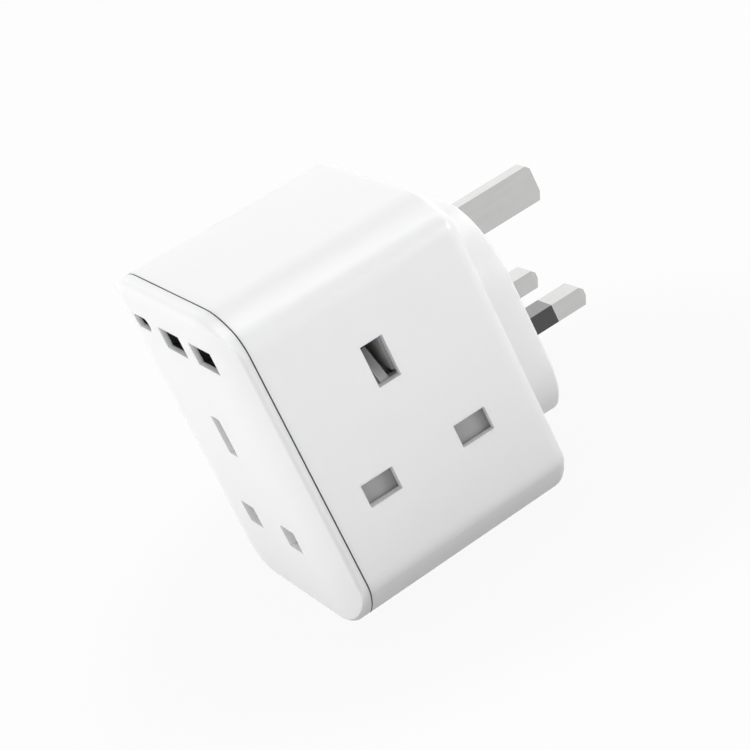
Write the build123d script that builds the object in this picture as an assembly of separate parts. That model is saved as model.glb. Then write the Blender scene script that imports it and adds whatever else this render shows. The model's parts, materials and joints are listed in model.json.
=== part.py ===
from build123d import *
import os
from math import asin, degrees, radians, sin, tan

# A plug-in adaptor cube: three 13 A outlets, a USB charger and a fused plug.
# Millimetres, +Z up, front face towards -Y, plug towards +Y.
# The origin is under the middle of the whole length, on the plane the cube stands on.
# "Depth" is the distance behind the front face. A socket has its own frame:
# u to the right and v up as seen from outside, measured from the earth hole, w inwards.

# Body
body_width = 71.0
body_height = 72.5
body_depth = 52.4
draft_deg = 1.2
wall = 1.8
back_wall = 2.0
back_edge_radius = 2.2
top_sweep_radius = 25.0
top_sweep_deg = 27.0
top_corner_radius = 6.0
bottom_sweep_radius = 22.0
bottom_sweep_deg = 55.0
bottom_corner_radius = 5.0

# Front cover
cover_depth = 3.6
cover_edge_radius = 1.7
crown_flat_width = 42.0
crown_drop = 2.0
crown_rim_radius = 1.3
parting_gap = 0.3
groove_inset = 0.8
lip_length = 2.4
lip_thickness = 1.0
lip_clearance = 0.15
snap_length = 9.0
snap_height = 0.45
snap_width = 0.8
snap_pitch = 26.0

# Plug pins, sleeves and the boss they stand on
pin_pitch = 22.2
earth_pin_height = 8.0
earth_pin_width = 4.0
earth_pin_length = 22.7
line_pin_width = 6.35
line_pin_height = 4.0
line_pin_length = 17.7
pin_tip = 1.3
sleeve_length = 9.5
sleeve_thickness = 0.5
plug_earth_z = 52.5
boss_height = 8.15
boss_width = 53.0
boss_top_z = 61.9
boss_bottom_z = 12.8
boss_corner_radius = 15.3
boss_edge_chamfer = 0.4
boss_wall = 2.0
boss_face = 2.5
collar_length = 8.0
collar_wall = 1.5
pin_clearance = 0.1
pin_head_overhang = 1.2
pin_head_thickness = 1.6
rivet_diameter = 3.0

# Fuse and its carrier
fuse_diameter = 6.3
fuse_length = 25.4
fuse_cap_length = 5.8
fuse_body_diameter = 5.6
carrier_width = 10.2
carrier_plate = 2.0
carrier_rib = 1.5
carrier_end_gap = 0.8
carrier_rib_pitch = 8.0
carrier_clearance = 0.15
carrier_grip_width = 5.0
carrier_grip_depth = 1.0
carrier_grip_inset = 2.2
well_wall = 1.2
well_floor = 1.4
well_pin_gap = 0.45
clip_thickness = 0.6
clip_width = 4.4
clip_slot_clearance = 0.2

# Socket outlets
socket_clearance = 1.1
socket_wall = 2.0
front_line_z = 18.1
side_line_rise = 9.5
side_socket_depth = 26.4
shutter_setback = 0.5
shutter_thickness = 2.0
shutter_clearance = 0.25
shutter_side_clearance = 0.4
shutter_travel = 5.2
shutter_overlap = 1.0
shutter_top_overlap = 0.3
shutter_bridge = 2.4
ramp_width = 2.0
ramp_deg = 46.0
ramp_overlap = 1.0
ramp_pin_clearance = 0.4
spring_seat = 2.0
spring_diameter = 3.6
spring_wire = 0.45
spring_wire_sides = 4
spring_coils = 4
spring_clearance = 0.6
stem_bar = 1.8
insert_plate = 1.5
insert_rail = 1.2
insert_top_margin = 3.5
insert_post = 1.6
seat_margin = 0.4
pocket_wall = 1.2
pocket_clearance = 0.15
contact_thickness = 0.6
contact_grip_clearance = 0.05
contact_lead_in = 0.5
contact_end_gap = 0.6
contact_base_overhang = 0.8
line_contact_length = 9.0
earth_contact_length = 10.0
earth_contact_height = 7.0

# Conductors
bar_thickness = 0.8
bar_width = 4.4
earth_bar_drop = 2.5
live_bar_drop = 1.8
neutral_bar_rise = 1.8
lead_diameter = 1.8
lead_x = 8.0

# USB charger board
usb_row_drop = 10.1
usb_wall = 1.1
usb_a_pitch = 18.3
usb_a_offset = 7.3
usb_c_x = -18.8
usb_a_mouth_width = 12.2
usb_a_mouth_height = 5.0
usb_a_shell_length = 14.0
usb_shell_thickness = 0.3
usb_shell_clearance = 0.15
usb_a_standoff = 0.4
usb_a_tongue_width = 11.1
usb_a_tongue_height = 1.9
usb_tongue_setback = 1.9
usb_a_block_length = 4.0
usb_c_block_length = 2.0
usb_c_mouth_width = 8.9
usb_c_mouth_height = 3.1
usb_c_shell_length = 7.6
usb_c_tongue_width = 6.7
usb_c_tongue_height = 0.7
usb_leg_length = 2.0
usb_leg_height = 2.8
board_width = 54.0
board_thickness = 1.6
board_front_gap = 4.6
board_length = 40.0
board_ledge = 1.6
board_ledge_overlap = 1.5
board_rib_x = 20.0
core_width = 15.0
core_length = 13.0
core_height = 8.6
core_leg = 3.2
bobbin_width = 18.0
winding_gap = 0.3
core_depth = 20.5
capacitor_diameter = 7.4
capacitor_length = 11.5
rectifier_width = 6.2
rectifier_length = 4.2
rectifier_height = 2.4
part_gap = 0.6

# Values worked out from the sizes above
half_width = body_width / 2
plug_face = body_depth + boss_height
front_y = -(plug_face + earth_pin_length) / 2
plug_line_z = plug_earth_z - pin_pitch
line_x = pin_pitch / 2
front_earth_z = front_line_z + pin_pitch
side_line_z = front_line_z + side_line_rise
side_earth_z = side_line_z + pin_pitch
earth_hole_u = earth_pin_width + socket_clearance
earth_hole_v = earth_pin_height + socket_clearance
line_hole_u = line_pin_width + socket_clearance
line_hole_v = line_pin_height + socket_clearance
draft_slope = tan(radians(draft_deg))
side_seat_x = half_width - draft_slope * (side_socket_depth - cover_depth) - socket_wall

# Places of the socket pieces in the socket's own frame
shutter_back = shutter_setback + shutter_thickness
plate_half = line_x + line_hole_u / 2 + shutter_overlap
plate_top = -pin_pitch + line_hole_v / 2 + shutter_top_overlap
plate_bottom = -pin_pitch - line_hole_v / 2 - shutter_overlap
ramp_low = -earth_hole_v / 2 - ramp_overlap
ramp_high = shutter_travel - earth_pin_height / 2 - ramp_pin_clearance
ramp_back = shutter_setback + (ramp_high - ramp_low) * tan(radians(ramp_deg))
seat_low = ramp_low - spring_seat
spring_w = shutter_setback + spring_diameter / 2 + pocket_clearance
seat_back = spring_w + spring_diameter / 2
window_half = spring_diameter / 2 + spring_clearance
stem_half = window_half + stem_bar
window_low = plate_bottom + shutter_bridge
post_low = window_low + shutter_clearance
post_top = post_low + insert_post
spring_length = seat_low - post_top
insert_front = shutter_back + shutter_clearance
insert_back = insert_front + insert_plate
insert_half = plate_half + shutter_side_clearance + insert_rail
insert_low = plate_bottom - shutter_travel - shutter_side_clearance - insert_rail
insert_top = earth_hole_v / 2 + insert_top_margin
slot_half = stem_half + shutter_side_clearance
guide_half = slot_half + insert_rail
rail_top = plate_top + shutter_overlap
earth_tube_v = earth_hole_v / 2 + pocket_clearance
earth_tube_front = ramp_back + shutter_side_clearance
earth_base_w = earth_pin_length - socket_wall + contact_end_gap
line_base_w = line_pin_length - socket_wall + contact_end_gap
throat_half = earth_hole_u / 2 + pocket_clearance
throat_end = earth_base_w - earth_contact_length - shutter_side_clearance
line_tube_u = line_hole_u / 2 + pocket_clearance
contact_half = contact_grip_clearance + contact_thickness + contact_lead_in
line_tube_v = line_pin_height / 2 + contact_half + pocket_clearance

# Depths of the plug's inner pieces
collar_end = plug_face - boss_face - collar_length
bar_back = collar_end - pin_head_thickness
bar_front = bar_back - bar_thickness
floor_low = bar_back + clip_thickness
floor_high = floor_low + well_floor
carrier_length = fuse_length + 2 * (carrier_end_gap + carrier_rib)
carrier_top = (plug_earth_z - earth_pin_height / 2 - pin_head_overhang
               - well_pin_gap - well_wall - carrier_clearance)
carrier_z = carrier_top - carrier_length / 2
fuse_depth = plug_face - carrier_plate - carrier_end_gap - fuse_diameter / 2
clip_z = (fuse_length - fuse_cap_length) / 2
earth_bar_z = side_earth_z - earth_bar_drop
live_bar_z = side_line_z - live_bar_drop
neutral_bar_z = side_line_z + neutral_bar_rise

pin_sections = (
    (0, plug_earth_z, earth_pin_width, earth_pin_height),
    (line_x, plug_line_z, line_pin_width, line_pin_height),
    (-line_x, plug_line_z, line_pin_width, line_pin_height),
)

# Heights of the charger board
usb_a_z = body_height - usb_row_drop
usb_a_outer_width = usb_a_mouth_width + 2 * (usb_shell_clearance + usb_shell_thickness)
usb_a_outer_height = usb_a_mouth_height + 2 * (usb_shell_clearance + usb_shell_thickness)
usb_c_outer_width = usb_c_mouth_width + 2 * (usb_shell_clearance + usb_shell_thickness)
usb_c_outer_height = usb_c_mouth_height + 2 * (usb_shell_clearance + usb_shell_thickness)
usb_a_inner_width = usb_a_outer_width - 2 * usb_shell_thickness
usb_a_inner_height = usb_a_outer_height - 2 * usb_shell_thickness
usb_c_inner_width = usb_c_outer_width - 2 * usb_shell_thickness
usb_c_inner_height = usb_c_outer_height - 2 * usb_shell_thickness
board_z = usb_a_z + usb_a_outer_height / 2 + usb_a_standoff
usb_c_z = board_z - usb_c_outer_height / 2
usb_a_xs = (usb_a_offset - usb_a_pitch / 2, usb_a_offset + usb_a_pitch / 2)
usb_front = usb_wall + usb_shell_clearance
rectifier_x = core_width / 2 + part_gap + rectifier_width / 2
capacitor_x = rectifier_x + rectifier_width / 2 + part_gap + capacitor_diameter / 2
capacitor_depth = side_socket_depth + guide_half + part_gap

front_socket = Plane((0, front_y + socket_wall, front_earth_z), x_dir=(1, 0, 0), z_dir=(0, -1, 0))
side_y = front_y + side_socket_depth
right_socket = Plane((side_seat_x, side_y, side_earth_z), x_dir=(0, 1, 0), z_dir=(1, 0, 0))
left_socket = Plane((-side_seat_x, side_y, side_earth_z), x_dir=(0, -1, 0), z_dir=(-1, 0, 0))
sockets = {"front": front_socket, "right": right_socket, "left": left_socket}


def at_depth(depth):
    """The upright plane at a depth behind the front face, seen from the front."""
    return Plane.XZ.offset(-(front_y + depth))


def block(x0, x1, depth0, depth1, z0, z1):
    """A box between two depths, in the part's frame."""
    size = (x1 - x0, depth1 - depth0, z1 - z0)
    centre = ((x0 + x1) / 2, front_y + (depth0 + depth1) / 2, (z0 + z1) / 2)
    return Pos(*centre) * Box(*size)


def column(x, z, half_x, half_z, depth0, depth1):
    """A box between two depths, given by the middle and the half sizes of its section."""
    return block(x - half_x, x + half_x, depth0, depth1, z - half_z, z + half_z)


def slab(u0, u1, v0, v1, w0, w1):
    """A box in a socket's own frame."""
    return Pos((u0 + u1) / 2, (v0 + v1) / 2, -(w0 + w1) / 2) * Box(u1 - u0, v1 - v0, w1 - w0)


def line_slab(half_u, half_v, w0, w1):
    """A box in a socket's own frame, centred on its live hole."""
    return slab(line_x - half_u, line_x + half_u, -pin_pitch - half_v, -pin_pitch + half_v, w0, w1)


def both_sides(solid):
    """A solid and its mirror image across the X = 0 plane."""
    return solid + mirror(solid, about=Plane.YZ)


def body_outline(inset=0.0):
    """The body's cross-section at the parting line, moved inwards by an inset."""
    top_dx = top_sweep_radius * sin(radians(top_sweep_deg))
    top_dx += top_corner_radius * (1 - sin(radians(top_sweep_deg)))
    bottom_dx = bottom_sweep_radius * sin(radians(bottom_sweep_deg))
    bottom_dx += bottom_corner_radius * (1 - sin(radians(bottom_sweep_deg)))
    bottom_edge = Line((0, inset), (half_width - bottom_dx, inset))
    bottom_sweep = JernArc(bottom_edge @ 1, (1, 0), bottom_sweep_radius - inset, bottom_sweep_deg)
    bottom_radius = bottom_corner_radius - inset
    bottom_corner = JernArc(bottom_sweep @ 1, bottom_sweep % 1, bottom_radius, 90 - bottom_sweep_deg)
    top_start = (half_width - top_dx, body_height - inset)
    top_sweep = JernArc(top_start, (1, 0), top_sweep_radius - inset, -top_sweep_deg)
    top_corner = JernArc(top_sweep @ 1, top_sweep % 1, top_corner_radius - inset, top_sweep_deg - 90)
    side = Line(bottom_corner @ 1, top_corner @ 1)
    top_edge = Line(top_sweep @ 0, (0, body_height - inset))
    half = bottom_edge + bottom_sweep + bottom_corner + side + top_corner + top_sweep + top_edge
    return make_face(half + mirror(half, about=Plane.YZ))


def drafted(depth0, depth1, inset):
    """The body's section run back from one depth to another with the housing's draft."""
    start = inset + draft_slope * (depth0 - cover_depth)
    return extrude(at_depth(depth0) * body_outline(start), amount=-(depth1 - depth0), taper=draft_deg)


def crown(setback):
    """All the space behind the crowned, round-rimmed front face, or behind one deeper by a setback."""
    flat = crown_flat_width / 2
    run = half_width - flat
    radius = (run ** 2 + crown_drop ** 2) / (2 * crown_drop)
    slope_deg = degrees(asin((run - crown_rim_radius) / (radius - crown_rim_radius)))
    middle = Line((-flat, setback), (flat, setback))
    right = JernArc((flat, setback), (1, 0), radius, slope_deg)
    right_rim = JernArc(right @ 1, right % 1, crown_rim_radius, 90 - slope_deg)
    right += right_rim
    left = mirror(right, about=Plane.YZ)
    rest = Polyline(right_rim @ 1, (half_width, body_depth), (-half_width, body_depth),
                    (-half_width, (right_rim @ 1).Y))
    return Pos(0, front_y, 0) * extrude(make_face(middle + right + rest + left), amount=body_height)


def boss_outline(inset=0.0):
    """The plug boss seen from the front, with its wide corners, moved inwards by an inset."""
    height = boss_top_z - boss_bottom_z - 2 * inset
    face = RectangleRounded(boss_width - 2 * inset, height, boss_corner_radius - inset)
    return Pos(0, (boss_top_z + boss_bottom_z) / 2) * face


def run_back(sketch, depth0, depth1):
    """A flat outline carried straight back from one depth to another."""
    return extrude(at_depth(depth0) * sketch, amount=-(depth1 - depth0))


def post(diameter, depth0, depth1, x, z):
    """A round post that lies along the depth."""
    return run_back(Pos(x, z) * Circle(diameter / 2), depth0, depth1)


def socket_holes(w0, w1):
    """The three pin holes of an outlet, cut between two values of w."""
    earth = slab(-earth_hole_u / 2, earth_hole_u / 2, -earth_hole_v / 2, earth_hole_v / 2, w0, w1)
    return earth + both_sides(line_slab(line_hole_u / 2, line_hole_v / 2, w0, w1))


def front_cover():
    """The crowned face with its outlet holes, pocketed port holes and a lip that snaps into the housing."""
    outer = run_back(body_outline(), 0, cover_depth)
    outer = fillet(outer.faces().sort_by(Axis.Y)[0].edges(), cover_edge_radius) & crown(0)
    lip_inset = wall + lip_clearance
    lip_end = cover_depth + lip_length
    snap_depth = cover_depth + lip_length / 2
    solid = outer + run_back(body_outline(lip_inset), cover_depth, lip_end)
    solid -= run_back(body_outline(lip_inset + lip_thickness), 0, lip_end) & crown(socket_wall)
    for x in (-snap_pitch / 2, snap_pitch / 2):
        solid += snap_bead(x, snap_depth, lip_inset, 0)
    solid -= front_socket * socket_holes(-socket_wall - crown_drop, crown_drop)
    fit = 2 * usb_shell_clearance
    usb_a_mouth = Rectangle(usb_a_mouth_width, usb_a_mouth_height)
    usb_a_pocket = Rectangle(usb_a_outer_width + fit, usb_a_outer_height + fit)
    for x in usb_a_xs:
        solid -= run_back(Pos(x, usb_a_z) * usb_a_mouth, 0, cover_depth)
        solid -= run_back(Pos(x, usb_a_z) * usb_a_pocket, usb_wall, cover_depth)
    usb_c_mouth = SlotOverall(usb_c_mouth_width, usb_c_mouth_height)
    usb_c_pocket = SlotOverall(usb_c_outer_width + fit, usb_c_outer_height + fit)
    solid -= run_back(Pos(usb_c_x, usb_c_z) * usb_c_mouth, 0, cover_depth)
    return solid - run_back(Pos(usb_c_x, usb_c_z) * usb_c_pocket, usb_wall, cover_depth)


def snap_bead(x, depth, inset, margin):
    """A pair of beads, over and under, that stand out from the lip; a margin makes their grooves."""
    half_x = snap_length / 2 + margin
    depth0 = depth - snap_width / 2 - margin
    depth1 = depth + snap_width / 2 + margin
    low = inset - snap_height - margin
    high = inset + lip_thickness / 2
    below = block(x - half_x, x + half_x, depth0, depth1, low, high)
    above = block(x - half_x, x + half_x, depth0, depth1, body_height - high, body_height - low)
    return below + above


def housing_outside():
    """The drafted body with its rounded back edge, the groove at the parting line and the plug boss."""
    body = drafted(cover_depth + parting_gap, body_depth, 0)
    body = fillet(body.faces().sort_by(Axis.Y)[-1].edges(), back_edge_radius)
    body += drafted(cover_depth, cover_depth + parting_gap, groove_inset)
    boss = run_back(boss_outline(), body_depth - back_wall, plug_face)
    return body + chamfer(boss.faces().sort_by(Axis.Y)[-1].edges(), boss_edge_chamfer)


def housing_void():
    """The hollow of the housing, less everything that is moulded on its walls."""
    void = drafted(cover_depth, body_depth - back_wall, wall)
    void += run_back(boss_outline(boss_wall), body_depth - back_wall, plug_face - boss_face)
    seat_half = insert_half + seat_margin
    seat = (-seat_half, seat_half, insert_low - seat_margin, insert_top + seat_margin)
    for place in (right_socket, left_socket):
        void -= place * slab(*seat, -wall, 0)
        void += place * slab(*seat, 0, wall)
    ledge_front = cover_depth + lip_length + board_ledge
    board_end = board_front_gap + board_length
    ledge_x = board_width / 2 - board_ledge_overlap
    ledge = block(ledge_x, half_width, ledge_front, board_end, board_z - board_ledge, board_z)
    ledge -= block(ledge_x, half_width, side_socket_depth - guide_half - seat_margin,
                   side_socket_depth + guide_half + seat_margin, board_z - board_ledge, board_z)
    rib_x = board_rib_x - board_ledge / 2
    rib_low = board_z + board_thickness + lip_clearance
    rib = block(rib_x, rib_x + board_ledge, ledge_front, board_end, rib_low, body_height)
    void -= both_sides(ledge + rib)
    collar_front = plug_face - boss_face
    for x, z, width, height in pin_sections:
        half_x = width / 2 + pin_clearance + collar_wall
        half_z = height / 2 + pin_clearance + collar_wall
        void -= column(x, z, half_x, half_z, collar_end, collar_front)
    half_x = carrier_width / 2 + carrier_clearance + well_wall
    half_z = carrier_length / 2 + carrier_clearance + well_wall
    return void - column(0, carrier_z, half_x, half_z, floor_low, collar_front)


def main_housing():
    """The deep rear shell: side outlets, plug boss, pin collars and the fuse well in one moulding."""
    solid = housing_outside() - housing_void()
    for place in (right_socket, left_socket):
        solid -= place * socket_holes(-socket_wall - wall, 0)
    for x, z, width, height in pin_sections:
        half_x = width / 2 + pin_clearance
        half_z = height / 2 + pin_clearance
        solid -= column(x, z, half_x, half_z, collar_end, plug_face)
    half_x = carrier_width / 2 + carrier_clearance
    half_z = carrier_length / 2 + carrier_clearance
    solid -= column(0, carrier_z, half_x, half_z, floor_high, plug_face)
    slot_x = fuse_diameter / 2 + clip_thickness + clip_slot_clearance
    slot_z = clip_width / 2 + clip_slot_clearance
    for z in (carrier_z - clip_z, carrier_z + clip_z):
        solid -= column(0, z, slot_x, slot_z, floor_low, floor_high)
    for x in (-snap_pitch / 2, snap_pitch / 2):
        solid -= snap_bead(x, cover_depth + lip_length / 2, wall + lip_clearance, lip_clearance)
    return solid


def pin(x, z, width, height, length, sleeved):
    """A solid plug pin: bevelled tip, shouldered head inside and a rivet that holds its conductor."""
    shank = column(x, z, width / 2, height / 2, bar_back, plug_face + length)
    shank = chamfer(shank.faces().sort_by(Axis.Y)[-1].edges(), pin_tip)
    if sleeved:
        shank -= sleeve(x, z, width, height)
    half_x = width / 2 + pin_head_overhang
    half_z = height / 2 + pin_head_overhang
    head = column(x, z, half_x, half_z, bar_back, collar_end)
    rivet = post(rivet_diameter, bar_front, bar_back, x, z)
    return shank + head + rivet


def sleeve(x, z, width, height):
    """The insulating sleeve round the root of a live or neutral pin."""
    section = Rectangle(width, height)
    section -= Rectangle(width - 2 * sleeve_thickness, height - 2 * sleeve_thickness)
    return run_back(Pos(x, z) * section, plug_face - boss_face, plug_face + sleeve_length)


def fuse_carrier():
    """The drawer in the plug face: a flush plate, two ends and two ribs that cradle the fuse."""
    half_x = carrier_width / 2
    half_z = carrier_length / 2
    plate_front = plug_face - carrier_plate
    rib_end = fuse_depth - fuse_body_diameter / 4
    plate = column(0, carrier_z, half_x, half_z, plate_front, plug_face)
    notch_z = carrier_z - half_z + carrier_grip_inset
    notch_front = plug_face - carrier_grip_depth
    plate -= column(0, notch_z, carrier_grip_width / 2, carrier_grip_depth, notch_front, plug_face)
    end_z = carrier_z + half_z - carrier_rib / 2
    end = column(0, end_z, half_x, carrier_rib / 2, floor_high + carrier_clearance, plate_front)
    rib_z = carrier_z + carrier_rib_pitch / 2
    rib = column(0, rib_z, half_x, carrier_rib / 2, rib_end, plate_front)
    sides = end + rib
    solid = plate + sides + mirror(sides, about=Plane.XY.offset(carrier_z))
    bore = fuse_body_diameter + 2 * carrier_clearance
    return solid - Pos(0, front_y + fuse_depth, carrier_z) * Cylinder(bore / 2, fuse_length)


def fuse():
    """A cartridge fuse: a ceramic barrel with a metal cap at each end."""
    barrel = Cylinder(fuse_body_diameter / 2, fuse_length)
    cap = Pos(0, 0, (fuse_length - fuse_cap_length) / 2) * Cylinder(fuse_diameter / 2, fuse_cap_length)
    return Pos(0, front_y + fuse_depth, carrier_z) * (barrel + cap + mirror(cap, about=Plane.XY))


def fuse_clip(z):
    """A spring clip that comes up through the well's floor and holds one cap of the fuse."""
    inside = fuse_diameter / 2 + pin_clearance
    outside = inside + clip_thickness - pin_clearance
    half_z = clip_width / 2
    arm_end = fuse_depth + fuse_diameter / 4
    arm = block(inside, outside, bar_back, arm_end, z - half_z, z + half_z)
    return both_sides(arm) + column(0, z, outside, half_z, bar_back, floor_low)


def ramp():
    """The wedge in the earth hole that turns the push of an earth pin into the shutter's slide."""
    low = (ramp_low, -shutter_setback)
    high = (ramp_high, -ramp_back)
    foot = (ramp_low, -ramp_back)
    face = make_face(Polyline(low, high, foot, close=True))
    return extrude(Plane.YZ * face, amount=ramp_width / 2, both=True)


def shutter():
    """One sliding shutter: a plate behind the line holes, a stem with a spring window and the ramp."""
    plate = slab(-plate_half, plate_half, plate_bottom, plate_top, shutter_setback, shutter_back)
    stem = slab(-stem_half, stem_half, plate_bottom, ramp_low, shutter_setback, shutter_back)
    seat = slab(-stem_half, stem_half, seat_low, ramp_low, shutter_setback, seat_back)
    window = slab(-window_half, window_half, window_low, seat_low, 0, shutter_back + shutter_clearance)
    return plate + stem + seat + ramp() - window


def shutter_spring():
    """The coil spring between the insert's post and the shutter's seat."""
    pitch = (spring_length - spring_wire) / spring_coils
    radius = (spring_diameter - spring_wire) / 2
    path = Helix(pitch, spring_length - spring_wire, radius)
    section = Plane(path @ 0, z_dir=path % 0) * RegularPolygon(spring_wire / 2, spring_wire_sides)
    coil = sweep(section, path=path, is_frenet=True)
    upright = Plane((0, post_top + spring_wire / 2, -spring_w), x_dir=(1, 0, 0), z_dir=(0, 1, 0))
    return upright * coil


def socket_insert():
    """The moulding behind an outlet: it guides the shutter and holds the three contacts."""
    line_outer_u = line_tube_u + pocket_wall
    line_outer_v = line_tube_v + pocket_wall
    solid = slab(-insert_half, insert_half, insert_low, rail_top, insert_front, insert_back)
    solid += slab(-guide_half, guide_half, rail_top, insert_top, insert_front, insert_back)
    rail = slab(insert_half - insert_rail, insert_half, insert_low, rail_top, 0, insert_front)
    guide = slab(slot_half, guide_half, rail_top, insert_top, 0, insert_front)
    line_tube = line_slab(line_outer_u, line_outer_v, insert_front, line_base_w)
    tube_top = earth_tube_v + pocket_wall
    cheek = slab(slot_half, guide_half, -earth_tube_v, tube_top, insert_front, earth_base_w)
    solid += both_sides(rail + guide + line_tube + cheek)
    solid += slab(-insert_half, insert_half, insert_low, insert_low + insert_rail, 0, insert_front)
    solid += slab(-guide_half, guide_half, insert_top - insert_rail, insert_top, 0, insert_front)
    solid += slab(-guide_half, guide_half, earth_tube_v, tube_top, insert_front, earth_base_w)
    solid += slab(-guide_half, guide_half, -tube_top, -earth_tube_v, earth_tube_front, earth_base_w)
    bore = line_slab(line_tube_u, line_tube_v, insert_back, line_base_w)
    mouth = line_slab(line_tube_u, line_hole_v / 2, insert_front, insert_back)
    solid -= both_sides(bore + mouth)
    slot_low = seat_low - shutter_travel - shutter_side_clearance
    solid -= slab(-slot_half, slot_half, slot_low, earth_tube_v, insert_front, insert_back)
    solid -= slab(-window_half, window_half, post_top, slot_low, insert_front, insert_back)
    solid += both_sides(slab(throat_half, slot_half, -earth_tube_v, earth_tube_v, insert_front, throat_end))
    post_half = window_half - shutter_side_clearance
    return solid + slab(-post_half, post_half, post_low, post_top, shutter_setback, insert_back)


def contact(grip, length, base_w, base_half, leaf_half):
    """A U-shaped spring contact: two leaves with flared mouths on a base plate, gripping across X."""
    inner = grip / 2 + contact_grip_clearance
    outer = inner + contact_thickness
    mouth = base_w - length
    throat = mouth + contact_lead_in
    back = base_w + contact_thickness
    points = [(0, base_w), (inner, base_w), (inner, throat), (inner + contact_lead_in, mouth),
              (outer + contact_lead_in, mouth), (outer, throat), (outer, base_w), (base_half, base_w),
              (base_half, back), (0, back)]
    half = make_face(Polyline(*[(x, -w) for x, w in points], close=True))
    return both_sides(extrude(Plane.XZ * half, amount=leaf_half, both=True))


def earth_contact():
    """The outlet's earth contact, on the end of its tube."""
    base_half = slot_half + contact_base_overhang
    leaf_half = earth_contact_height / 2
    return contact(earth_pin_width, earth_contact_length, earth_base_w, base_half, leaf_half)


def line_contact(side):
    """A live (side 1) or neutral (side -1) contact, turned to grip the flat of its pin."""
    base_half = line_tube_v + contact_base_overhang
    clip = contact(line_pin_height, line_contact_length, line_base_w, base_half, line_pin_width / 2)
    return Pos(side * line_x, -pin_pitch) * Rot(0, 0, 90) * clip


def upright(x, depth, z0, z1, margin):
    """A standing strip that reaches from a bar at one height past another height by a margin."""
    low = min(z0 - bar_thickness / 2, z1 - margin)
    high = max(z0 + bar_thickness / 2, z1 + margin)
    return block(x - bar_width / 2, x + bar_width / 2, depth, depth + bar_thickness, low, high)


def rear_tab(x, bar_z, hole_z):
    """The upturned end of a conductor, on the back of a pin's head, with its rivet hole."""
    tab = upright(x, bar_front, bar_z, hole_z, rivet_diameter)
    return tab - post(rivet_diameter + 2 * pin_clearance, bar_front, bar_back, x, hole_z)


def earth_bar():
    """The strip that joins the earth pin to the three earth contacts."""
    half = bar_width / 2
    low = earth_bar_z - bar_thickness / 2
    high = earth_bar_z + bar_thickness / 2
    reach = side_seat_x - earth_base_w - contact_thickness
    front = socket_wall + earth_base_w + contact_thickness
    cross = block(-reach, reach, side_socket_depth - half, side_socket_depth + half, low, high)
    spine = block(-half, half, front, bar_front, low, high)
    drop = upright(0, front, earth_bar_z, front_earth_z, half)
    return cross + spine + drop + rear_tab(0, earth_bar_z, plug_earth_z)


def line_bar(side, z):
    """The strip that joins one line contact of each outlet; side 1 is live, side -1 neutral."""
    half = bar_width / 2
    low = z - bar_thickness / 2
    high = z + bar_thickness / 2
    reach = side_seat_x - line_base_w - contact_thickness
    front = socket_wall + line_base_w + contact_thickness
    right_depth = side_socket_depth + side * line_x
    left_depth = side_socket_depth - side * line_x
    right_run = block(-half, reach, right_depth - half, right_depth + half, low, high)
    left_run = block(-reach, half, left_depth - half, left_depth + half, low, high)
    spine_front = side_socket_depth - line_x - half
    spine_back = side_socket_depth + line_x + half
    spine = block(-half, half, spine_front, spine_back, low, high)
    arm_x = side * line_x
    arm = block(min(0, arm_x) - half, max(0, arm_x) + half, front, front + bar_width, low, high)
    tail = block(-half, half, side_socket_depth, bar_front, low, high)
    return right_run + left_run + spine + arm + tail + upright(arm_x, front, z, front_line_z, half)


def live_bar():
    """The fused live strip, which ends on the lower fuse clip."""
    tab = upright(0, bar_front, live_bar_z, carrier_z - clip_z, clip_width / 2)
    return line_bar(1, live_bar_z) + tab


def neutral_bar():
    """The neutral strip, which ends on the neutral pin."""
    half = bar_width / 2
    low = neutral_bar_z - bar_thickness / 2
    jog = block(-line_x - half, half, bar_front - bar_width, bar_front, low, low + bar_thickness)
    return line_bar(-1, neutral_bar_z) + jog + rear_tab(-line_x, neutral_bar_z, plug_line_z)


def live_link():
    """The strip from the live pin to the upper fuse clip."""
    half = bar_width / 2
    clip = carrier_z + clip_z
    arm = rear_tab(line_x, clip, plug_line_z)
    return arm + block(-half, line_x + half, bar_front, bar_back, clip - half, clip + half)


def board_lead(side, bar_z):
    """An insulated wire from a strip up to the charger board."""
    start = bar_z + bar_thickness / 2
    length = board_z - start
    place = Pos(side * lead_x, front_y + side_socket_depth + line_x, start + length / 2)
    return place * Cylinder(lead_diameter / 2, length)


def usb_board():
    """The charger's circuit board, slotted for the legs of the ports."""
    half = board_width / 2
    back = board_front_gap + board_length
    solid = block(-half, half, board_front_gap, back, board_z, board_z + board_thickness)
    for x in usb_a_xs:
        solid -= usb_a_legs(x, usb_shell_clearance)
    return solid


def usb_a_legs(x, margin):
    """The two legs of a type A port; a margin makes their slots in the board."""
    outside = usb_a_outer_width / 2 + margin
    inside = usb_a_outer_width / 2 - usb_shell_thickness - margin
    middle = usb_front + usb_a_shell_length / 2
    half = usb_leg_length / 2 + margin
    low = usb_a_z
    high = board_z + usb_leg_height
    right = block(x + inside, x + outside, middle - half, middle + half, low, high)
    left = block(x - outside, x - inside, middle - half, middle + half, low, high)
    return right + left


def usb_a_shell(x):
    """The folded steel shell of a type A port."""
    section = Rectangle(usb_a_outer_width, usb_a_outer_height)
    section -= Rectangle(usb_a_inner_width, usb_a_inner_height)
    tube = run_back(Pos(x, usb_a_z) * section, usb_front, usb_front + usb_a_shell_length)
    return tube + usb_a_legs(x, 0)


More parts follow.
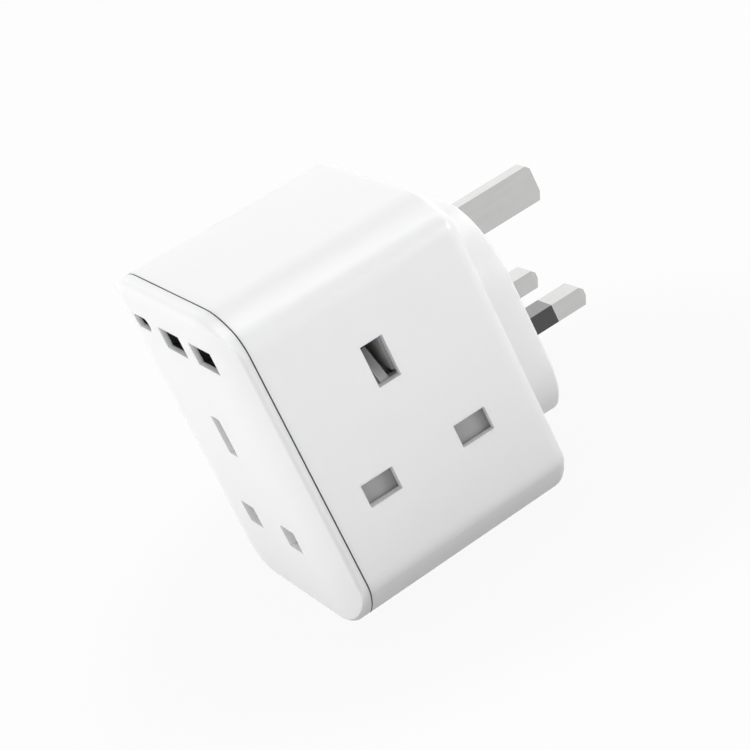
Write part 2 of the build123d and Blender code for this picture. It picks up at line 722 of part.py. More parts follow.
def usb_a_tongue(x):
    """The contact block of a type A port, with its tongue in the lower half of the mouth."""
    end = usb_front + usb_a_shell_length
    block_front = end - usb_a_block_length
    rear = column(x, usb_a_z, usb_a_inner_width / 2, usb_a_inner_height / 2, block_front, end)
    tongue_z = usb_a_z - usb_a_tongue_height / 2
    tongue_front = usb_front + usb_tongue_setback
    half_x = usb_a_tongue_width / 2
    half_z = usb_a_tongue_height / 2
    return rear + column(x, tongue_z, half_x, half_z, tongue_front, block_front)


def usb_c_shell():
    """The drawn steel shell of the type C port."""
    section = SlotOverall(usb_c_outer_width, usb_c_outer_height)
    section -= SlotOverall(usb_c_inner_width, usb_c_inner_height)
    return run_back(Pos(usb_c_x, usb_c_z) * section, usb_front, usb_front + usb_c_shell_length)


def usb_c_tongue():
    """The contact block of the type C port, with its thin central tongue."""
    end = usb_front + usb_c_shell_length
    block_front = end - usb_c_block_length
    section = Pos(usb_c_x, usb_c_z) * SlotOverall(usb_c_inner_width, usb_c_inner_height)
    tongue_front = usb_front + usb_tongue_setback
    half_x = usb_c_tongue_width / 2
    half_z = usb_c_tongue_height / 2
    tongue = column(usb_c_x, usb_c_z, half_x, half_z, tongue_front, block_front)
    return run_back(section, block_front, end) + tongue


def transformer_core():
    """The ferrite core: a three-legged frame hung under the board."""
    face = Rectangle(core_width, core_height)
    window_width = (core_width - 2 * core_leg) / 2 - core_leg / 2
    window_x = core_leg / 2 + window_width / 2
    window = Rectangle(window_width, core_height - core_leg)
    face -= Pos(window_x, 0) * window + Pos(-window_x, 0) * window
    return run_back(Pos(0, board_z - core_height / 2) * face, core_depth, core_depth + core_length)


def transformer_winding():
    """The wound bobbin on the core's middle leg."""
    half = core_width / 2 - core_leg - winding_gap
    overhang = (bobbin_width - core_length) / 2
    high = core_height - core_leg - 2 * winding_gap
    face = Rectangle(2 * half, high) - Rectangle(core_leg + 2 * winding_gap, high)
    first = core_depth - winding_gap
    last = core_depth + core_length + winding_gap
    coil = run_back(Pos(0, board_z - core_height / 2) * face, first, last)
    end = Pos(0, board_z - core_height / 2) * Rectangle(2 * half, high)
    coil += run_back(end, core_depth - overhang, first)
    coil += run_back(end, last, core_depth + core_length + overhang)
    return coil


def capacitor(x):
    """An electrolytic can laid along the board."""
    can = Cylinder(capacitor_diameter / 2, capacitor_length)
    y = front_y + capacitor_depth + capacitor_length / 2
    return Pos(x, y, board_z - capacitor_diameter / 2) * Rot(90, 0, 0) * can


def rectifier():
    """The small moulded bridge rectifier beside the transformer."""
    first = core_depth + (core_length - rectifier_length) / 2
    last = first + rectifier_length
    half_z = rectifier_height / 2
    return column(rectifier_x, board_z - half_z, rectifier_width / 2, half_z, first, last)


earth_place, live_place, neutral_place = pin_sections
nodes = {
    "front_cover": front_cover(),
    "main_housing": main_housing(),
    "earth_pin": pin(*earth_place, earth_pin_length, False),
    "live_pin": pin(*live_place, line_pin_length, True),
    "neutral_pin": pin(*neutral_place, line_pin_length, True),
    "live_pin_sleeve": sleeve(*live_place),
    "neutral_pin_sleeve": sleeve(*neutral_place),
    "fuse_carrier": fuse_carrier(),
    "fuse": fuse(),
    "upper_fuse_clip": fuse_clip(carrier_z + clip_z),
    "lower_fuse_clip": fuse_clip(carrier_z - clip_z),
    "live_link": live_link(),
    "earth_bar": earth_bar(),
    "live_bar": live_bar(),
    "neutral_bar": neutral_bar(),
    "live_lead": board_lead(1, live_bar_z),
    "neutral_lead": board_lead(-1, neutral_bar_z),
    "usb_board": usb_board(),
    "usb_a_shell_left": usb_a_shell(usb_a_xs[0]),
    "usb_a_shell_right": usb_a_shell(usb_a_xs[1]),
    "usb_a_tongue_left": usb_a_tongue(usb_a_xs[0]),
    "usb_a_tongue_right": usb_a_tongue(usb_a_xs[1]),
    "usb_c_shell": usb_c_shell(),
    "usb_c_tongue": usb_c_tongue(),
    "transformer_core": transformer_core(),
    "transformer_winding": transformer_winding(),
    "input_capacitor": capacitor(-capacitor_x),
    "output_capacitor": capacitor(capacitor_x),
    "rectifier": rectifier(),
}
for outlet, place in sockets.items():
    nodes[outlet + "_shutter"] = place * shutter()
    nodes[outlet + "_shutter_spring"] = place * shutter_spring()
    nodes[outlet + "_socket_insert"] = place * socket_insert()
    nodes[outlet + "_earth_contact"] = place * earth_contact()
    nodes[outlet + "_live_contact"] = place * line_contact(1)
    nodes[outlet + "_neutral_contact"] = place * line_contact(-1)

os.makedirs("parts", exist_ok=True)
for name, solid in nodes.items():
    export_step(solid, os.path.join("parts", name + ".step"))
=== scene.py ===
# %% [markdown]
# # A plug-in outlet cube
# The cube is a white adaptor: it plugs into a wall socket and offers three mains outlets and
# three charging ports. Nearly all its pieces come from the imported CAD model, which is the fixed
# frame of this scene. This lesson dresses that frame: it gives every piece its finish, adds the
# small metal parts that are too fine for the CAD model, and sets up the light and the camera.

# %% load the frame
import json
import math

import bmesh
import bpy
from mathutils import Matrix, Vector


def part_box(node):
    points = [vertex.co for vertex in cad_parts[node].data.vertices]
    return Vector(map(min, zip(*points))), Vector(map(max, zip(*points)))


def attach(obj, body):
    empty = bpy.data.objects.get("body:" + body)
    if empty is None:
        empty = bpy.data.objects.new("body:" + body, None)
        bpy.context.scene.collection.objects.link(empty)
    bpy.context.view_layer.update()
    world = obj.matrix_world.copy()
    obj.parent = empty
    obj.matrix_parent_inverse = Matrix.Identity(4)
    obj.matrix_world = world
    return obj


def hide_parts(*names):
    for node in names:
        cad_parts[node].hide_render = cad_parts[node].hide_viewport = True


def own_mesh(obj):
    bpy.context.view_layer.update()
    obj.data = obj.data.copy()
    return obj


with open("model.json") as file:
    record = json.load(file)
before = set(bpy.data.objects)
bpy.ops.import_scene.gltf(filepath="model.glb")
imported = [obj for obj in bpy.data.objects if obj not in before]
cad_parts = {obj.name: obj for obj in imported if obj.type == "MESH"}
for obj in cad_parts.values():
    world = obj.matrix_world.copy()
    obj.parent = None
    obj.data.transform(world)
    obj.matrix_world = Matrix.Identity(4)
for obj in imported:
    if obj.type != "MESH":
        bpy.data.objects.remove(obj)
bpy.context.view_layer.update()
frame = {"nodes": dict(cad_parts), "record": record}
scene = bpy.context.scene
scene.view_settings.view_transform = "Standard"
slot_of = {row["node"]: row["material_slot"] for row in frame["record"]["subparts"]}
print("nodes", len(frame["nodes"]), "slots", len(set(slot_of.values())))

# %% [markdown]
# ## Shared finishes as node groups
# Several plastics of the cube share one look, and so do its metals. Each look could be wired
# anew in every material, but a node group holds the recipe once, and each material places it with
# its own colour and roughness. A group is made in two steps: its named sockets first, and then the
# nodes between them.

# %% start a node group
socket_kinds = {
    "float": "NodeSocketFloat",
    "colour": "NodeSocketColor",
    "vector": "NodeSocketVector",
}


def start_group(name, inputs, outputs):
    """An empty shader group with its two ends; an input is a title, a kind and a value."""
    group = bpy.data.node_groups.new(name, "ShaderNodeTree")
    for title, kind, value in inputs:
        socket = group.interface.new_socket(title, in_out="INPUT", socket_type=socket_kinds[kind])
        socket.default_value = value
    for title, kind in outputs:
        group.interface.new_socket(title, in_out="OUTPUT", socket_type=socket_kinds[kind])
    entry = group.nodes.new("NodeGroupInput").outputs
    leave = group.nodes.new("NodeGroupOutput").inputs
    return group, entry, leave


print("socket kinds", ", ".join(socket_kinds))

# %% [markdown]
# A surface looks real when its colour and its gloss vary a little. A painted image could give
# that, but a noise texture needs no unwrapping, and in object coordinates it sits still on the
# piece from every side. The helpers below make such a noise and let it swing about a value.

# %% noise, and a swing about a centre
noise_mean = 0.5
plain_detail = 2.0


def math_node(tree, operation, *values):
    """One step of arithmetic; each value is a number or a socket."""
    node = tree.nodes.new("ShaderNodeMath")
    node.operation = operation
    for socket, value in zip(node.inputs, values):
        if isinstance(value, float):
            socket.default_value = value
        else:
            tree.links.new(value, socket)
    return node.outputs["Value"]


def object_place(tree):
    """The place of each point in the frame of the cube."""
    return tree.nodes.new("ShaderNodeTexCoord").outputs["Object"]


def noise(tree, place, scale, detail=plain_detail):
    """A noise texture over the given places."""
    node = tree.nodes.new("ShaderNodeTexNoise")
    node.inputs["Scale"].default_value = scale
    node.inputs["Detail"].default_value = detail
    tree.links.new(place, node.inputs["Vector"])
    return node.outputs["Fac"]


def swing(tree, texture, amount, centre):
    """Moves a noise to the centre and scales it by the amount."""
    around_zero = math_node(tree, "SUBTRACT", texture, noise_mean)
    return math_node(tree, "MULTIPLY_ADD", around_zero, amount, centre)


def shade_by(tree, colour, factor):
    """Multiplies a colour by a grey factor."""
    node = tree.nodes.new("ShaderNodeMix")
    node.data_type = "RGBA"
    node.blend_type = "MULTIPLY"
    node.inputs["Factor"].default_value = 1.0
    tree.links.new(colour, node.inputs["A"])
    tree.links.new(factor, node.inputs["B"])
    return node.outputs["Result"]


print("noise swings about", noise_mean)

# %% [markdown]
# The plastics have a satin skin from a polished mould: a faint mottle in the colour, patches that
# are a little duller, and a very fine grain. Scales count the bumps of a noise in one metre, so
# the mottle is about 12 mm wide, a patch 2.4 mm and the grain 0.2 mm.

# %% the skin of a moulded plastic
mottle_scale = 85.0
mottle_detail = 3.0
patch_scale = 420.0
grain_scale = 5200.0


def make_moulded_skin():
    """Satin plastic: mottled colour, uneven gloss and a fine grain."""
    group, entry, leave = start_group(
        "moulded_skin",
        [("Colour", "colour", (0.8, 0.8, 0.8, 1.0)), ("Mottle", "float", 0.02),
         ("Roughness", "float", 0.4), ("Unevenness", "float", 0.06)],
        [("Colour", "colour"), ("Roughness", "float"), ("Grain", "float")])
    place = object_place(group)
    clouds = noise(group, place, mottle_scale, mottle_detail)
    mottle = swing(group, clouds, entry["Mottle"], 1.0)
    patches = noise(group, place, patch_scale)
    roughness = swing(group, patches, entry["Unevenness"], entry["Roughness"])
    group.links.new(shade_by(group, entry["Colour"], mottle), leave["Colour"])
    group.links.new(roughness, leave["Roughness"])
    group.links.new(noise(group, place, grain_scale), leave["Grain"])
    return group


moulded_skin = make_moulded_skin()
print("group", moulded_skin.name, "nodes", len(moulded_skin.nodes))

# %% [markdown]
# Pins, strips and port shells are drawn or rolled metal. Drawing leaves fine lines along the
# length of a piece, which widen a reflection across them. An anisotropic shader would need
# tangents along each piece, while a noise that is stretched along one direction shows the lines
# themselves. The group stretches its noise by a density for each axis, low along the lines.

# %% the lines of drawn metal
stain_scale = 260.0
line_detail = 4.0


def make_drawn_lines():
    """Drawn metal: tint and bump in fine lines, and a roughness that varies in stains."""
    group, entry, leave = start_group(
        "drawn_lines",
        [("Colour", "colour", (0.6, 0.6, 0.6, 1.0)), ("Density", "vector", (900.0, 30.0, 900.0)),
         ("Contrast", "float", 0.1), ("Roughness", "float", 0.3)],
        [("Colour", "colour"), ("Roughness", "float"), ("Lines", "float")])
    place = object_place(group)
    stretch = group.nodes.new("ShaderNodeVectorMath")
    stretch.operation = "MULTIPLY"
    group.links.new(place, stretch.inputs[0])
    group.links.new(entry["Density"], stretch.inputs[1])
    lines = noise(group, stretch.outputs["Vector"], 1.0, line_detail)
    tint = swing(group, lines, entry["Contrast"], 1.0)
    stains = noise(group, place, stain_scale)
    roughness = swing(group, stains, entry["Contrast"], entry["Roughness"])
    group.links.new(shade_by(group, entry["Colour"], tint), leave["Colour"])
    group.links.new(roughness, leave["Roughness"])
    group.links.new(lines, leave["Lines"])
    return group


drawn_lines = make_drawn_lines()
print("group", drawn_lines.name, "nodes", len(drawn_lines.nodes))

# %% [markdown]
# ## Materials
# Each material is one Principled shader fed by one of the groups. A bump node turns the group's
# grain or lines into tiny changes of the normal. Its distance is in metres, so a few microns are
# enough on a moulding, and no mesh has to be divided for it.

# %% a material from a group
grain_height = 4e-6
grain_strength = 0.5
line_height = 2e-6
line_strength = 0.4


def shader_of(material):
    """The Principled shader of a material."""
    return material.node_tree.nodes["Principled BSDF"]


def start_material(name, group, settings):
    """A material whose shader takes colour and roughness from one placed group."""
    material = bpy.data.materials.new(name)
    material.use_nodes = True
    tree = material.node_tree
    placed = tree.nodes.new("ShaderNodeGroup")
    placed.node_tree = group
    for title, value in settings.items():
        placed.inputs[title].default_value = value
    for title, socket in (("Colour", "Base Color"), ("Roughness", "Roughness")):
        tree.links.new(placed.outputs[title], shader_of(material).inputs[socket])
    return material, placed


def add_bump(material, height, distance, strength):
    """Feeds a height into the normal of a material's shader."""
    tree = material.node_tree
    bump = tree.nodes.new("ShaderNodeBump")
    bump.inputs["Distance"].default_value = distance
    bump.inputs["Strength"].default_value = strength
    tree.links.new(height, bump.inputs["Height"])
    tree.links.new(bump.outputs["Normal"], shader_of(material).inputs["Normal"])


def plastic(name, colour, roughness, mottle):
    """A moulded plastic of one colour."""
    settings = {"Colour": (*colour, 1.0), "Roughness": roughness, "Mottle": mottle}
    material, placed = start_material(name, moulded_skin, settings)
    add_bump(material, placed.outputs["Grain"], grain_height, grain_strength)
    return material


def metal(name, colour, roughness, density, contrast):
    """A drawn or rolled metal whose lines run where the density is lowest."""
    settings = {"Colour": (*colour, 1.0), "Roughness": roughness,
                "Density": density, "Contrast": contrast}
    material, placed = start_material(name, drawn_lines, settings)
    shader_of(material).inputs["Metallic"].default_value = 1.0
    add_bump(material, placed.outputs["Lines"], line_height, line_strength)
    return material


print("bump of plastic", grain_height, "of metal", line_height)

# %% [markdown]
# The shell is the only large surface. Its white is a little under full white, so that the light
# can model the crowned front and the swept corners. The shutters and inserts behind the holes are
# a duller moulding, the sleeves of the two current pins are black, and so are the blocks in the
# ports. The fuse carrier shows at the back, and the rest is inside: leads, board, fuse and the
# parts of the charger.

# %% the plastics, each with its colour, roughness and mottle
plastics = {
    "white_shell": ((0.9, 0.9, 0.905), 0.33, 0.012),
    "carrier_plastic": ((0.8, 0.8, 0.8), 0.5, 0.02),
    "black_sleeve": ((0.016, 0.016, 0.0165), 0.25, 0.06),
    "shutter_plastic": ((0.35, 0.35, 0.35), 0.55, 0.03),
    "insert_plastic": ((0.62, 0.62, 0.62), 0.55, 0.03),
    "port_black": ((0.012, 0.012, 0.012), 0.5, 0.1),
    "circuit_board": ((0.03, 0.2, 0.08), 0.35, 0.15),
    "red_lead": ((0.35, 0.12, 0.05), 0.45, 0.06),
    "blue_lead": ((0.03, 0.1, 0.4), 0.45, 0.06),
    "ferrite": ((0.05, 0.05, 0.05), 0.6, 0.2),
    "winding_tape": ((0.7, 0.5, 0.06), 0.3, 0.08),
    "capacitor_sleeve": ((0.03, 0.035, 0.06), 0.3, 0.08),
    "chip_black": ((0.02, 0.02, 0.02), 0.5, 0.1),
    "fuse_body": ((0.72, 0.7, 0.66), 0.2, 0.04),
}
finishes = {name: plastic(name, *recipe) for name, recipe in plastics.items()}
print("plastics", ", ".join(finishes))

# %% [markdown]
# Two plastics need more than the shared skin. The sleeves have a clear gloss, which is the
# shader's coat. White plastic lets a little light in, which brightens the lips of its holes, so
# the shell has some subsurface light over about a millimetre.

# %% gloss on the sleeves, light inside the shell
shader_extras = {
    "black_sleeve": {"Coat Weight": 0.7, "Coat Roughness": 0.2},
    "white_shell": {"Subsurface Weight": 0.6, "Subsurface Radius": (1.0, 1.0, 1.0),
                    "Subsurface Scale": 0.0014},
}
for name, settings in shader_extras.items():
    for title, value in settings.items():
        shader_of(finishes[name]).inputs[title].default_value = value
    print(name, settings)

# %% [markdown]
# The metals are plated pins, brass strips, dark port shells, steel springs and gilded contacts.
# Pins, shells and contacts run from front to back, so their lines do too. On the strips and
# springs the lines run upright.

# %% the metals, each with its colour, roughness, density and contrast
along_depth = (700.0, 24.0, 700.0)
along_height = (500.0, 500.0, 40.0)
metals = {
    "plated_pin": ((0.5, 0.5, 0.495), 0.26, along_depth, 0.1),
    "brass_strip": ((0.5, 0.4, 0.22), 0.35, along_height, 0.12),
    "port_steel": ((0.05, 0.05, 0.05), 0.5, along_depth, 0.12),
    "spring_steel": ((0.45, 0.45, 0.45), 0.3, along_height, 0.12),
    "gold_finger": ((0.8, 0.58, 0.25), 0.25, along_depth, 0.06),
}
finishes.update({name: metal(name, *recipe) for name, recipe in metals.items()})
print("metals", ", ".join(metals))

# %% [markdown]
# Each node of the CAD model names a slot in the record, which says what it is made of. The finish
# of that slot takes the place of the plain material that the node came with.

# %% dress every node
for node, piece in frame["nodes"].items():
    piece.data.materials.clear()
    piece.data.materials.append(finishes[slot_of[node]])
print("dressed", len(frame["nodes"]))

# %% [markdown]
# ## Finishes that change over one piece
# Some pieces change their look from one end to the other. A second material on some of the faces
# could do that, but the CAD meshes stay as they are. So a mask tells by the place of a point which
# finish it has, and the shader's input is mixed by that mask.

# %% repaint by place
def place_mask(tree, axis, middle, test, reach):
    """1 on the points whose distance from the middle, along the axis, passes the test."""
    split = tree.nodes.new("ShaderNodeSeparateXYZ")
    tree.links.new(object_place(tree), split.inputs["Vector"])
    offset = math_node(tree, "SUBTRACT", split.outputs[axis], middle)
    return math_node(tree, test, math_node(tree, "ABSOLUTE", offset), reach)


def repaint(material, title, mask, value):
    """Gives an input of the shader a new value where the mask is 1."""
    tree = material.node_tree
    socket = shader_of(material).inputs[title]
    mix = tree.nodes.new("ShaderNodeMix")
    mix.data_type = "RGBA" if isinstance(value, tuple) else "FLOAT"
    tree.links.new(mask, mix.inputs["Factor"])
    tree.links.new(socket.links[0].from_socket, mix.inputs["A"])
    mix.inputs["B"].default_value = value
    tree.links.new(mix.outputs["Result"], socket)
    print(material.name, title, "repainted")


# %% [markdown]
# ### The fuse and its caps
# A cartridge fuse is a glazed barrel with a metal cap pressed on each end. The CAD solid has the
# caps' shape, so the finish only has to change from ceramic to metal where a cap begins. The mask
# is 1 near both ends, and it also switches Metallic on.

# %% cap the fuse
cap_length = 0.0058
cap_metal = (0.62, 0.62, 0.6, 1.0)
cap_roughness = 0.3
ceramic = finishes["fuse_body"]
low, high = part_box("fuse")
half_length = (high.z - low.z) / 2
mask = place_mask(ceramic.node_tree, "Z", low.z + half_length, "GREATER_THAN",
                  half_length - cap_length)
repaint(ceramic, "Base Color", mask, cap_metal)
repaint(ceramic, "Roughness", mask, cap_roughness)
ceramic.node_tree.links.new(mask, shader_of(ceramic).inputs["Metallic"])
print("fuse length", round(2 * half_length, 4))

# %% [markdown]
# ### The ramps of the shutters
# A shutter is one dull moulding with two plates, which close the live and neutral holes, and a
# ramp behind the earth hole. The ramp faces out of the hole and catches more light than the
# plates, so its colour is painted pale: painted light.
# The ramp is the top of the moulding. Each shutter gets a finish of its own, because the front
# outlet sits lower than the other two.

# %% paint light on the ramps
outlets = ("front", "right", "left")
ramp_height = 0.008
painted_ramp_light = (0.85, 0.85, 0.85, 1.0)
for outlet in outlets:
    low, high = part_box(outlet + "_shutter")
    shutter_with_painted_light = plastic(outlet + "_shutter_painted_light", *plastics["shutter_plastic"])
    mask = place_mask(shutter_with_painted_light.node_tree, "Z", low.z, "GREATER_THAN", high.z - low.z - ramp_height)
    # painted light: the ramp at the top of the moulding is made paler than the plates
    repaint(shutter_with_painted_light, "Base Color", mask, painted_ramp_light)
    frame["nodes"][outlet + "_shutter"].data.materials[0] = shutter_with_painted_light
    print(outlet, "shutter height", round(high.z - low.z, 4), "foot", round(low.z, 4))

# %% [markdown]
# ### The seam of the shell
# The cover meets the housing in a narrow groove, which starts at the foremost edge of the housing.
# Light hardly gets into it, so it reads as a dark line. A mask on the depth finds the walls of the
# groove, and the shell's white turns grey there: painted shade.

# %% painted shade in the seam
seam_width = 0.0003
seam_margin = 2e-6
painted_seam_shade = (0.4, 0.4, 0.4, 1.0)
seam_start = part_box("main_housing")[0].y
shell = finishes["white_shell"]
mask = place_mask(shell.node_tree, "Y", seam_start + seam_width / 2, "LESS_THAN",
                  seam_width / 2 + seam_margin)
# painted shade: the walls of the groove are greyed where light hardly reaches
repaint(shell, "Base Color", mask, painted_seam_shade)
print("seam from", round(seam_start, 5), "width", seam_width)

# %% [markdown]
# ## The springs under the shutters
# A coil spring holds each shutter up until an earth pin pushes it down. The CAD springs are wound
# from square wire with few faces, so they are replaced by springs of round wire with closed ends.
# A screw modifier would wind one at an even pitch, but closed ends need a pitch that changes along
# the wire, and a curve with a round bevel allows that.

# %% the line of the wire
wire = 0.00045
turns = 7
steps_per_turn = 24
closed_turns = 0.7
easing_turns = 0.6
closed_share = 0.19


def rise_at(turn):
    """How fast the wire climbs: slowly in the closed end turns, fully between them."""
    inside = min(turn, turns - turn) - closed_turns
    blend = min(1.0, max(0.0, inside / easing_turns))
    return closed_share + (1.0 - closed_share) * blend * blend * (3.0 - 2.0 * blend)


def wire_points(low, high):
    """Points of the wire's centre line, inside the box of the CAD spring."""
    radius = (min(high.x - low.x, high.y - low.y) - wire) / 2
    middle = (low + high) / 2
    steps = turns * steps_per_turn
    rises = [rise_at((step + 0.5) / steps_per_turn) for step in range(steps)]
    scale = (high.z - low.z - wire) / sum(rises)
    height = low.z + wire / 2
    points = []
    for step in range(steps + 1):
        angle = 2 * math.pi * step / steps_per_turn
        x = middle.x + radius * math.cos(angle)
        y = middle.y + radius * math.sin(angle)
        points.append((x, y, height))
        height += scale * rises[min(step, steps - 1)]
    return points


print("wire", wire, "turns", turns)

# %% [markdown]
# The curve's round bevel gives the wire its section; the curve is then turned into a mesh and
# removed.

# %% wind a spring
wire_roundness = 2


def wind_spring(name, low, high):
    """A round-wire spring as a mesh object."""
    curve = bpy.data.curves.new(name, "CURVE")
    curve.dimensions = "3D"
    curve.bevel_depth = wire / 2
    curve.bevel_resolution = wire_roundness
    curve.use_fill_caps = True
    spline = curve.splines.new("POLY")
    points = wire_points(low, high)
    spline.points.add(len(points) - 1)
    for point, place in zip(spline.points, points):
        point.co = (*place, 1.0)
    former = bpy.data.objects.new(name + "_former", curve)
    scene.collection.objects.link(former)
    graph = bpy.context.evaluated_depsgraph_get()
    mesh = bpy.data.meshes.new_from_object(former.evaluated_get(graph))
    bpy.data.objects.remove(former)
    for face in mesh.polygons:
        face.use_smooth = True
    mesh.materials.clear()
    mesh.materials.append(finishes["spring_steel"])
    spring = bpy.data.objects.new(name, mesh)
    scene.collection.objects.link(spring)
    print(name, "points", len(points), "faces", len(mesh.polygons))
    return spring


# %% put one spring under each shutter
for outlet in outlets:
    node = outlet + "_shutter_spring"
    low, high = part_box(node)
    spring = wind_spring(outlet + "_coil", low, high)
    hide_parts(node)
    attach(spring, "adaptor")
    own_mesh(spring)

# %% [markdown]
# ## Contacts of the ports
# A type A port has four sprung fingers on its tongue: each lies flat at the back, bows up to meet
# the plug and dips again at the tip. A type C tongue has a row of short flat pads on both faces.
# Both could be curves with a bevel, but a strip has a flat section. So one helper sweeps a
# rectangle along a line in the plane of depth and height, and a bevel softens its edges.

# %% sweep a strip
edge_softening = 3e-5
edge_segments = 2
square_corners = ((-1, -1), (1, -1), (1, 1), (-1, 1))


def add_strip(build, x, width, line, thickness):
    """Adds one closed strip to a bmesh; the line holds points of depth and height, front first."""
    rings = []
    for index, (y, z) in enumerate(line):
        before = Vector(line[max(index - 1, 0)])
        after = Vector(line[min(index + 1, len(line) - 1)])
        along = (after - before).normalized()
        across = Vector((-along.y, along.x)) * thickness / 2
        ring = []
        for side, rise in square_corners:
            place = (x + side * width / 2, y + rise * across.x, z + rise * across.y)
            ring.append(build.verts.new(place))
        rings.append(ring)
    for ring, following in zip(rings, rings[1:]):
        for corner in range(len(ring)):
            beside = (corner + 1) % len(ring)
            build.faces.new((ring[corner], ring[beside], following[beside], following[corner]))
    build.faces.new(reversed(rings[0]))
    build.faces.new(rings[-1])


def finish_strips(name, build):
    """Turns the strips into one piece with softened edges."""
    bmesh.ops.recalc_face_normals(build, faces=build.faces)
    mesh = bpy.data.meshes.new(name)
    build.to_mesh(mesh)
    build.free()
    piece = bpy.data.objects.new(name, mesh)
    scene.collection.objects.link(piece)
    soften = piece.modifiers.new("soften", "BEVEL")
    soften.width = edge_softening
    soften.segments = edge_segments
    mesh.materials.append(finishes["gold_finger"])
    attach(piece, "adaptor")
    print(name, "faces", len(mesh.polygons))


# %% four fingers in each type A port, on a tongue whose top is halfway up its block
finger_width = 0.001
finger_sheet = 0.0002
finger_places = (-0.0035, -0.001, 0.001, 0.0035)
finger_bow = ((0.0012, 0.00002), (0.0018, 0.00024), (0.0026, 0.00052), (0.0034, 0.00064),
              (0.0042, 0.00052), (0.0052, 0.00026), (0.0060, 0.00012), (0.0076, 0.0001))
for side in ("left", "right"):
    low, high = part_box("usb_a_tongue_" + side)
    middle = (low + high) / 2
    line = [(low.y + depth, middle.z + rise) for depth, rise in finger_bow]
    build = bmesh.new()
    for place in finger_places:
        add_strip(build, middle.x + place, finger_width, line, finger_sheet)
    finish_strips("usb_a_fingers_" + side, build)

# %% the pads of the type C tongue
pad_pitch = 0.0005
pad_width = 0.00026
pad_sheet = 0.00006
pad_depths = (0.0006, 0.0016, 0.0026, 0.0036)
pads_per_face = 12
tongue_half_height = 0.00035
low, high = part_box("usb_c_tongue")
middle = (low + high) / 2
build = bmesh.new()
for face in (-1, 1):
    height = middle.z + face * tongue_half_height
    line = [(low.y + depth, height) for depth in pad_depths]
    for index in range(pads_per_face):
        x = middle.x + (index - (pads_per_face - 1) / 2) * pad_pitch
        add_strip(build, x, pad_width, line, pad_sheet)
finish_strips("usb_c_pads", build)

# %% [markdown]
# ## Light and floor
# The picture is a studio shot on white. A brighter world would whiten its background, but it would
# burn out the cube as well. So camera and mirror rays meet a white world, while the cube itself is
# lit by a dim one and by lamps, at a plain level.

# %% the world
fill_level = 0.29
pure_white = (1.0, 1.0, 1.0, 1.0)


def seen_ray(tree):
    """1 for rays that show a background: from the camera, a mirror or glass."""
    path = tree.nodes.new("ShaderNodeLightPath").outputs
    seen = math_node(tree, "MAXIMUM", path["Is Camera Ray"], path["Is Glossy Ray"])
    return math_node(tree, "MAXIMUM", seen, path["Is Transmission Ray"])


def choose_shader(tree, factor, first, second, output):
    """Shows the first shader where the factor is 0 and the second where it is 1."""
    choose = tree.nodes.new("ShaderNodeMixShader")
    for socket, source in zip(choose.inputs, (factor, first, second)):
        tree.links.new(source, socket)
    tree.links.new(choose.outputs["Shader"], tree.nodes[output].inputs["Surface"])


world = bpy.data.worlds.new("studio")
scene.world = world
world.use_nodes = True
sky = world.node_tree
fill = sky.nodes["Background"]
fill.inputs["Strength"].default_value = fill_level
white = sky.nodes.new("ShaderNodeBackground")
for background in (fill, white):
    background.inputs["Color"].default_value = pure_white
dim, bright = fill.outputs["Background"], white.outputs["Background"]
choose_shader(sky, seen_ray(sky), dim, bright, "World Output")
print("world fill", fill_level)

# %% [markdown]
# The key lamp is a wide softbox low in front on the left. It is kept out of reflections, as a
# polarising sheet would do, because its mirror image clips the upper edge of the cover to white.
# A softbox on the right and a weaker one in front light the right side. A long panel hangs
# overhead and draws the soft line of shine along the upper corner. A high and a back softbox round
# off the top, and a weak low lamp on the left shines on the tops of the pins.

# %% the lamps, each with its place, width and height in metres, and power in watts
lamps = {
    "left_softbox": ((-0.80, -1.00, 0.20), 0.8, 0.4, 8.6),
    "high_softbox": ((-0.30, -0.50, 1.10), 0.6, 0.6, 1.7),
    "overhead_panel": ((-0.16, 0.27, 1.05), 0.95, 0.4, 3.6),
    "back_softbox": ((-0.40, 0.90, 0.70), 0.6, 0.6, 3.4),
    "right_softbox": ((0.90, 0.76, 0.20), 0.7, 0.4, 5.5),
    "near_softbox": ((0.75, -0.75, 0.25), 0.8, 0.4, 2.5),
    "low_lamp": ((-1.0, 0.28, 0.40), 0.5, 0.35, 0.3),
}
key_lamp = "left_softbox"
cube_middle = Vector((0.0, 0.0, 0.035))
for name, (place, width, height, power) in lamps.items():
    light = bpy.data.lights.new(name, "AREA")
    light.shape = "RECTANGLE"
    light.size = width
    light.size_y = height
    light.energy = power
    lamp = bpy.data.objects.new(name, light)
    lamp.location = place
    aim = cube_middle - Vector(place)
    lamp.rotation_euler = aim.to_track_quat("-Z", "Y").to_euler()
    lamp.visible_camera = False
    lamp.visible_glossy = name != key_lamp
    scene.collection.objects.link(lamp)
    print(name, power)

# %% [markdown]
# The floor is white paper. Under the cube its colour turns dark in a round patch: painted shade,
# which takes bounce light away from the cube's low edges, so that they stand out from the white.
# It stands in for the dark card a photographer lays under a white object, which other views would
# show.

# %% the floor
floor_reach = 6.0
corners = [(x * floor_reach, y * floor_reach, 0) for x, y in square_corners]
floor_mesh = bpy.data.meshes.new("floor")
floor_mesh.from_pydata(corners, [], [tuple(range(len(corners)))])
floor = bpy.data.objects.new("floor", floor_mesh)
scene.collection.objects.link(floor)
print("floor reach", floor_reach)
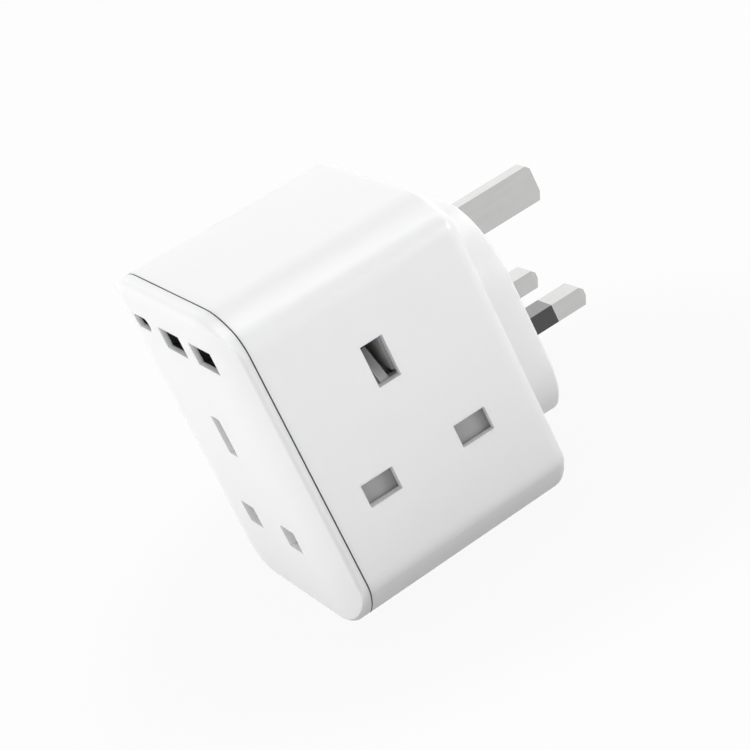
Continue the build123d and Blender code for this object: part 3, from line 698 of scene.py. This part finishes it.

# %% its paper, with painted shade from the inner to the outer radius
paper_roughness = 0.9
paper_mottle = 0.04
paper_mottle_scale = 30.0
painted_shade_range = {"From Min": 0.05, "From Max": 0.11, "To Min": 0.14, "To Max": 0.72}
paper = bpy.data.materials.new("white_paper")
paper.use_nodes = True
floor_mesh.materials.append(paper)
tree = paper.node_tree
place = object_place(tree)
from_middle = tree.nodes.new("ShaderNodeVectorMath")
from_middle.operation = "LENGTH"
tree.links.new(place, from_middle.inputs[0])
# painted shade: the paper's colour darkens towards the middle, under the cube
painted_shade_ramp = tree.nodes.new("ShaderNodeMapRange")
painted_shade_ramp.interpolation_type = "SMOOTHSTEP"
for title, value in painted_shade_range.items():
    painted_shade_ramp.inputs[title].default_value = value
tree.links.new(from_middle.outputs["Value"], painted_shade_ramp.inputs["Value"])
mottled = noise(tree, place, paper_mottle_scale)
tint = swing(tree, mottled, paper_mottle, painted_shade_ramp.outputs["Result"])
tree.links.new(tint, shader_of(paper).inputs["Base Color"])
shader_of(paper).inputs["Roughness"].default_value = paper_roughness
print("painted_shade_ramp", painted_shade_range)

# %% [markdown]
# Camera and mirror rays should see white paper with only a faint shadow. For them most of the
# paper is a plain white glow, and the rest is the paper that the lamps light.

# %% the glow of the paper
glow_share = 0.94
glow = tree.nodes.new("ShaderNodeEmission")
glow.inputs["Strength"].default_value = 1.0
share = math_node(tree, "MULTIPLY", seen_ray(tree), glow_share)
lit = shader_of(paper).outputs["BSDF"]
choose_shader(tree, share, lit, glow.outputs["Emission"], "Material Output")
print("glow share", glow_share)

# %% [markdown]
# ## Camera
# The camera was solved from the standard spacing of the outlets' holes, so its place and turn are
# known in the part's own frame. The picture is square, and its width in pixels together with the
# focal length in pixels gives the lens for a 36 mm sensor.

# %% the camera
picture_px = 750
focal_px = 2882.5
sensor_mm = 36.0
nearest_seen = 0.01
camera_place = (0.53288, -0.156715, 0.24384)
right_axis = Vector((0.39314292, 0.8196455, -0.4166772))
down_axis = Vector((0.18536275, -0.51451414, -0.83720718))
view_axis = Vector((-0.90059941, 0.25190564, -0.35420934))
camera_data = bpy.data.cameras.new("camera")
camera_data.sensor_width = sensor_mm
camera_data.lens = focal_px / picture_px * sensor_mm
camera_data.clip_start = nearest_seen
camera = bpy.data.objects.new("camera", camera_data)
turn = Matrix((right_axis, -down_axis, -view_axis)).transposed()
camera.matrix_world = Matrix.Translation(camera_place) @ turn.to_4x4()
scene.collection.objects.link(camera)
scene.camera = camera
print("lens", round(camera_data.lens, 2))
